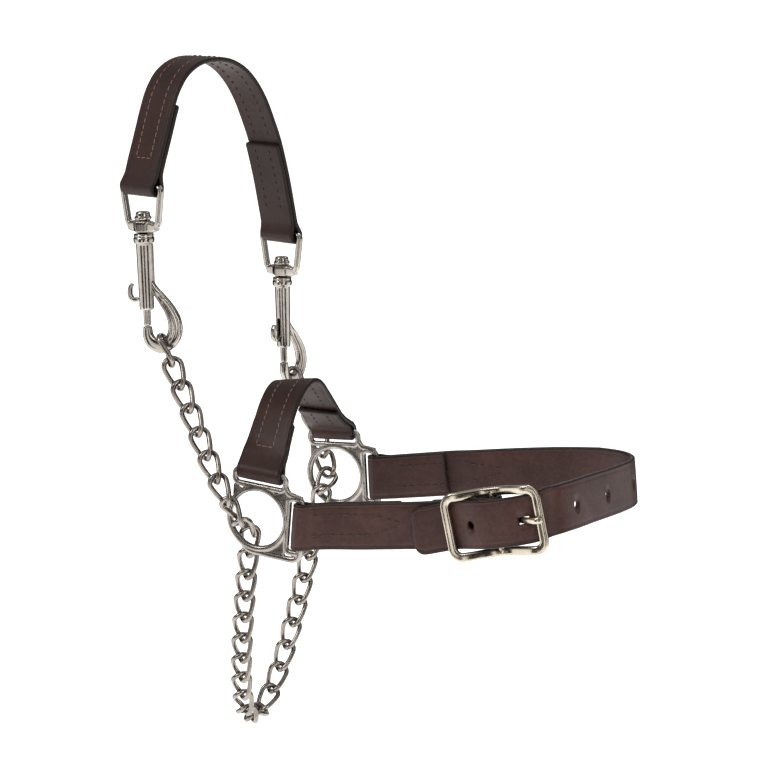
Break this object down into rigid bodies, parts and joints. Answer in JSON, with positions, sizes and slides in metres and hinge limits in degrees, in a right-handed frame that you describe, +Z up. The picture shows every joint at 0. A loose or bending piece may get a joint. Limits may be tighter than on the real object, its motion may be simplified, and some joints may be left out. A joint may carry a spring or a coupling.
{
  "type": "headcollar",
  "caption": "Leather headcollar: buckled noseband, jaw strap and crown strap on cast cheek plates, with a running curb chain held by two swivel bolt snaps.",
  "frame": {"origin": "midpoint between the two cheek plates' ring centres, inside the space the animal's head takes", "axes": "+X forward towards the muzzle, +Z up towards the crown strap, near side (buckle side) is -Y"},
  "size_m": [0.274, 0.1331, 0.3818],
  "materials": {
    "strap_leather": "dark brown bridle leather, waxed, edges burnished nearly black",
    "plate_metal": "nickel-plated casting, rubbed",
    "snap_metal": "nickel-plated casting, polished",
    "buckle_metal": "nickel-plated, slightly warm",
    "chain_steel": "plated steel wire, dulled by use"
  },
  "bodies": {
    "headstraps": {"crown_strap": "strap_leather", "jaw_strap": "strap_leather", "noseband_buckle_strap": "strap_leather", "noseband_billet": "strap_leather", "near_cheek_plate": "plate_metal", "far_cheek_plate": "plate_metal", "buckle_frame": "buckle_metal", "chain_near_ring": "chain_steel", "chain_far_ring": "chain_steel"},
    "near_snap_bow": {"near_snap_bow": "snap_metal"},
    "near_snap_body": {"near_snap_body": "snap_metal"},
    "near_snap_bolt": {"near_snap_bolt": "snap_metal"},
    "far_snap_bow": {"far_snap_bow": "snap_metal"},
    "far_snap_body": {"far_snap_body": "snap_metal"},
    "far_snap_bolt": {"far_snap_bolt": "snap_metal"},
    "buckle_prong": {"buckle_prong": "buckle_metal"},
    "chain_near_1": {"chain_near_1": "chain_steel"},
    "chain_near_2": {"chain_near_2": "chain_steel"},
    "chain_near_3": {"chain_near_3": "chain_steel"},
    "chain_near_4": {"chain_near_4": "chain_steel"},
    "chain_near_5": {"chain_near_5": "chain_steel"},
    "chain_near_6": {"chain_near_6": "chain_steel"},
    "chain_near_7": {"chain_near_7": "chain_steel"},
    "chain_near_8": {"chain_near_8": "chain_steel"},
    "chain_chin_near_1": {"chain_chin_near_1": "chain_steel"},
    "chain_chin_far_1": {"chain_chin_far_1": "chain_steel"},
    "chain_chin_near_2": {"chain_chin_near_2": "chain_steel"},
    "chain_chin_far_2": {"chain_chin_far_2": "chain_steel"},
    "chain_chin_near_3": {"chain_chin_near_3": "chain_steel"},
    "chain_chin_far_3": {"chain_chin_far_3": "chain_steel"},
    "chain_chin_near_4": {"chain_chin_near_4": "chain_steel"},
    "chain_chin_far_4": {"chain_chin_far_4": "chain_steel"},
    "chain_chin_near_5": {"chain_chin_near_5": "chain_steel"},
    "chain_chin_far_5": {"chain_chin_far_5": "chain_steel"},
    "chain_chin_near_6": {"chain_chin_near_6": "chain_steel"},
    "chain_chin_far_6": {"chain_chin_far_6": "chain_steel"},
    "chain_chin_near_7": {"chain_chin_near_7": "chain_steel"},
    "chain_chin_far_7": {"chain_chin_far_7": "chain_steel"},
    "chain_chin_near_8": {"chain_chin_near_8": "chain_steel"},
    "chain_chin_far_8": {"chain_chin_far_8": "chain_steel"},
    "chain_chin_near_9": {"chain_chin_near_9": "chain_steel"},
    "chain_chin_far_9": {"chain_chin_far_9": "chain_steel"},
    "chain_chin_near_10": {"chain_chin_near_10": "chain_steel"},
    "chain_chin_far_10": {"chain_chin_far_10": "chain_steel"},
    "chain_chin_bottom": {"chain_chin_bottom": "chain_steel"},
    "chain_far_1": {"chain_far_1": "chain_steel"},
    "chain_far_2": {"chain_far_2": "chain_steel"},
    "chain_far_3": {"chain_far_3": "chain_steel"},
    "chain_far_4": {"chain_far_4": "chain_steel"},
    "chain_far_5": {"chain_far_5": "chain_steel"}
  },
  "joints": [
    {"name": "near_bow_swing", "type": "hinge", "parent": "headstraps", "child": "near_snap_bow", "pos_m": [-0.06757, -0.04936, 0.1763], "axis": [0.9492, -0.3148, 0], "range_deg": [-2.5, 0.6]},
    {"name": "near_snap_swivel", "type": "hinge", "parent": "near_snap_bow", "child": "near_snap_body", "pos_m": [-0.06757, -0.04936, 0.1763], "axis": [-0.0248, 0.0082, 0.9997], "range_deg": [-8, 1]},
    {"name": "near_bolt_slide", "type": "slide", "parent": "near_snap_body", "child": "near_snap_bolt", "axis": [-0.0248, 0.0082, 0.9997], "range_m": [0, 0.0085], "stiffness_N_per_m": 400, "springref_m": -0.004},
    {"name": "far_bow_swing", "type": "hinge", "parent": "headstraps", "child": "far_snap_bow", "pos_m": [-0.03442, 0.05059, 0.14], "axis": [0.9492, -0.3148, 0], "range_deg": [-2.5, 2]},
    {"name": "far_snap_swivel", "type": "hinge", "parent": "far_snap_bow", "child": "far_snap_body", "pos_m": [-0.03442, 0.05059, 0.14], "axis": [-0.0166, 0.0055, 0.9998], "range_deg": [-8, 1]},
    {"name": "far_bolt_slide", "type": "slide", "parent": "far_snap_body", "child": "far_snap_bolt", "axis": [-0.0166, 0.0055, 0.9998], "range_m": [0, 0.0085], "stiffness_N_per_m": 400, "springref_m": -0.004},
    {"name": "buckle_prong_swing", "type": "hinge", "parent": "headstraps", "child": "buckle_prong", "pos_m": [0.1392, -0.0548, 0.01556], "axis": [0.213, 0, -0.977], "range_deg": [0, 6]},
    {"name": "near_run_8", "type": "hinge", "parent": "headstraps", "child": "chain_near_8", "pos_m": [-0.0072, -0.0563, -0.0014], "axis": [0.9492, -0.3148, 0], "range_deg": [-4, 4]},
    {"name": "near_run_7", "type": "hinge", "parent": "chain_near_8", "child": "chain_near_7", "pos_m": [-0.01314, -0.06023, 0.01025], "axis": [0.9492, -0.3148, 0], "range_deg": [-0.6, 0.6]},
    {"name": "near_run_6", "type": "hinge", "parent": "chain_near_7", "child": "chain_near_6", "pos_m": [-0.02028, -0.05903, 0.02186], "axis": [0.9492, -0.3148, 0], "range_deg": [-0.6, 0.6]},
    {"name": "near_run_5", "type": "hinge", "parent": "chain_near_6", "child": "chain_near_5", "pos_m": [-0.02698, -0.05719, 0.03367], "axis": [0.9492, -0.3148, 0], "range_deg": [-0.6, 0.6]},
    {"name": "near_run_4", "type": "hinge", "parent": "chain_near_5", "child": "chain_near_4", "pos_m": [-0.03297, -0.05556, 0.04581], "axis": [0.9492, -0.3148, 0], "range_deg": [-0.6, 0.6]},
    {"name": "near_run_3", "type": "hinge", "parent": "chain_near_4", "child": "chain_near_3", "pos_m": [-0.03901, -0.05386, 0.05799], "axis": [0.9492, -0.3148, 0], "range_deg": [-0.6, 0.6]},
    {"name": "near_run_2", "type": "hinge", "parent": "chain_near_3", "child": "chain_near_2", "pos_m": [-0.04524, -0.05207, 0.06999], "axis": [0.9492, -0.3148, 0], "range_deg": [-0.6, 0.6]},
    {"name": "near_run_1", "type": "hinge", "parent": "chain_near_2", "child": "chain_near_1", "pos_m": [-0.05153, -0.05022, 0.08195], "axis": [0.9492, -0.3148, 0], "range_deg": [-0.6, 0.6]},
    {"name": "far_run_1", "type": "hinge", "parent": "headstraps", "child": "chain_far_1", "pos_m": [-0.0072, 0.0563, -0.0014], "axis": [0.9492, -0.3148, 0], "range_deg": [-5.7, 5.7]},
    {"name": "far_run_2", "type": "hinge", "parent": "chain_far_1", "child": "chain_far_2", "pos_m": [-0.0135, 0.0606, 0.00901], "axis": [0.9492, -0.3148, 0], "range_deg": [-1.2, 1.2]},
    {"name": "far_run_3", "type": "hinge", "parent": "chain_far_2", "child": "chain_far_3", "pos_m": [-0.01757, 0.06177, 0.0212], "axis": [0.9492, -0.3148, 0], "range_deg": [-1.2, 1.2]},
    {"name": "far_run_4", "type": "hinge", "parent": "chain_far_3", "child": "chain_far_4", "pos_m": [-0.02198, 0.06135, 0.03335], "axis": [0.9492, -0.3148, 0], "range_deg": [-1.2, 1.2]},
    {"name": "far_run_5", "type": "hinge", "parent": "chain_far_4", "child": "chain_far_5", "pos_m": [-0.02648, 0.05976, 0.04537], "axis": [0.9492, -0.3148, 0], "range_deg": [-1.2, 1.2]},
    {"name": "chin_near_1", "type": "hinge", "parent": "headstraps", "child": "chain_chin_near_1", "pos_m": [-0.00683, -0.04595, -0.0084], "axis": [0, 1, 0], "range_deg": [-6, 3]},
    {"name": "chin_far_1", "type": "hinge", "parent": "headstraps", "child": "chain_chin_far_1", "pos_m": [-0.00683, 0.04595, -0.0084], "axis": [0, 1, 0], "range_deg": [-6, 3]},
    {"name": "chin_near_2", "type": "hinge", "parent": "chain_chin_near_1", "child": "chain_chin_near_2", "pos_m": [-0.00914, -0.04438, -0.02181], "axis": [0, 1, 0], "range_deg": [-12, 12]},
    {"name": "chin_far_2", "type": "hinge", "parent": "chain_chin_far_1", "child": "chain_chin_far_2", "pos_m": [-0.00914, 0.04438, -0.02181], "axis": [0, 1, 0], "range_deg": [-12, 12]},
    {"name": "chin_near_3", "type": "hinge", "parent": "chain_chin_near_2", "child": "chain_chin_near_3", "pos_m": [-0.01146, -0.04263, -0.0352], "axis": [0, 1, 0], "range_deg": [-12, 12]},
    {"name": "chin_far_3", "type": "hinge", "parent": "chain_chin_far_2", "child": "chain_chin_far_3", "pos_m": [-0.01146, 0.04263, -0.0352], "axis": [0, 1, 0], "range_deg": [-12, 12]},
    {"name": "chin_near_4", "type": "hinge", "parent": "chain_chin_near_3", "child": "chain_chin_near_4", "pos_m": [-0.01376, -0.04068, -0.04856], "axis": [0, 1, 0], "range_deg": [-12, 12]},
    {"name": "chin_far_4", "type": "hinge", "parent": "chain_chin_far_3", "child": "chain_chin_far_4", "pos_m": [-0.01376, 0.04068, -0.04856], "axis": [0, 1, 0], "range_deg": [-12, 12]},
    {"name": "chin_near_5", "type": "hinge", "parent": "chain_chin_near_4", "child": "chain_chin_near_5", "pos_m": [-0.01607, -0.03845, -0.06188], "axis": [0, 1, 0], "range_deg": [-12, 12]},
    {"name": "chin_far_5", "type": "hinge", "parent": "chain_chin_far_4", "child": "chain_chin_far_5", "pos_m": [-0.01607, 0.03845, -0.06188], "axis": [0, 1, 0], "range_deg": [-12, 12]},
    {"name": "chin_near_6", "type": "hinge", "parent": "chain_chin_near_5", "child": "chain_chin_near_6", "pos_m": [-0.01835, -0.03586, -0.07514], "axis": [0, 1, 0], "range_deg": [-12, 12]},
    {"name": "chin_far_6", "type": "hinge", "parent": "chain_chin_far_5", "child": "chain_chin_far_6", "pos_m": [-0.01835, 0.03586, -0.07514], "axis": [0, 1, 0], "range_deg": [-12, 12]},
    {"name": "chin_near_7", "type": "hinge", "parent": "chain_chin_near_6", "child": "chain_chin_near_7", "pos_m": [-0.02063, -0.03278, -0.08829], "axis": [0, 1, 0], "range_deg": [-12, 12]},
    {"name": "chin_far_7", "type": "hinge", "parent": "chain_chin_far_6", "child": "chain_chin_far_7", "pos_m": [-0.02063, 0.03278, -0.08829], "axis": [0, 1, 0], "range_deg": [-12, 12]},
    {"name": "chin_near_8", "type": "hinge", "parent": "chain_chin_near_7", "child": "chain_chin_near_8", "pos_m": [-0.02287, -0.02898, -0.10126], "axis": [0, 1, 0], "range_deg": [-12, 12]},
    {"name": "chin_far_8", "type": "hinge", "parent": "chain_chin_far_7", "child": "chain_chin_far_8", "pos_m": [-0.02287, 0.02898, -0.10126], "axis": [0, 1, 0], "range_deg": [-12, 12]},
    {"name": "chin_near_9", "type": "hinge", "parent": "chain_chin_near_8", "child": "chain_chin_near_9", "pos_m": [-0.02504, -0.02406, -0.11386], "axis": [0, 1, 0], "range_deg": [-12, 12]},
    {"name": "chin_far_9", "type": "hinge", "parent": "chain_chin_far_8", "child": "chain_chin_far_9", "pos_m": [-0.02504, 0.02406, -0.11386], "axis": [0, 1, 0], "range_deg": [-12, 12]},
    {"name": "chin_near_10", "type": "hinge", "parent": "chain_chin_near_9", "child": "chain_chin_near_10", "pos_m": [-0.02706, -0.01721, -0.12555], "axis": [0, 1, 0], "range_deg": [-12, 12]},
    {"name": "chin_far_10", "type": "hinge", "parent": "chain_chin_far_9", "child": "chain_chin_far_10", "pos_m": [-0.02706, 0.01721, -0.12555], "axis": [0, 1, 0], "range_deg": [-12, 12]},
    {"name": "chin_bottom", "type": "hinge", "parent": "chain_chin_near_10", "child": "chain_chin_bottom", "pos_m": [-0.02859, -0.00685, -0.13439], "axis": [0, 1, 0], "range_deg": [-12, 12]}
  ],
  "couplings": [
    {"joint": "near_run_8", "follows": "near_bow_swing", "ratio": -1.5213},
    {"joint": "near_run_7", "follows": "near_bow_swing", "ratio": 0.2173},
    {"joint": "near_run_6", "follows": "near_bow_swing", "ratio": 0.2173},
    {"joint": "near_run_5", "follows": "near_bow_swing", "ratio": 0.2173},
    {"joint": "near_run_4", "follows": "near_bow_swing", "ratio": 0.2173},
    {"joint": "near_run_3", "follows": "near_bow_swing", "ratio": 0.2173},
    {"joint": "near_run_2", "follows": "near_bow_swing", "ratio": 0.2173},
    {"joint": "near_run_1", "follows": "near_bow_swing", "ratio": 0.2173},
    {"joint": "far_run_1", "follows": "far_bow_swing", "ratio": -2.1447},
    {"joint": "far_run_2", "follows": "far_bow_swing", "ratio": 0.4289},
    {"joint": "far_run_3", "follows": "far_bow_swing", "ratio": 0.4289},
    {"joint": "far_run_4", "follows": "far_bow_swing", "ratio": 0.4289},
    {"joint": "far_run_5", "follows": "far_bow_swing", "ratio": 0.4289},
    {"joint": "chin_far_1", "follows": "chin_near_1", "ratio": 1},
    {"joint": "chin_far_2", "follows": "chin_near_2", "ratio": 1},
    {"joint": "chin_far_3", "follows": "chin_near_3", "ratio": 1},
    {"joint": "chin_far_4", "follows": "chin_near_4", "ratio": 1},
    {"joint": "chin_far_5", "follows": "chin_near_5", "ratio": 1},
    {"joint": "chin_far_6", "follows": "chin_near_6", "ratio": 1},
    {"joint": "chin_far_7", "follows": "chin_near_7", "ratio": 1},
    {"joint": "chin_far_8", "follows": "chin_near_8", "ratio": 1},
    {"joint": "chin_far_9", "follows": "chin_near_9", "ratio": 1},
    {"joint": "chin_far_10", "follows": "chin_near_10", "ratio": 1}
  ]
}
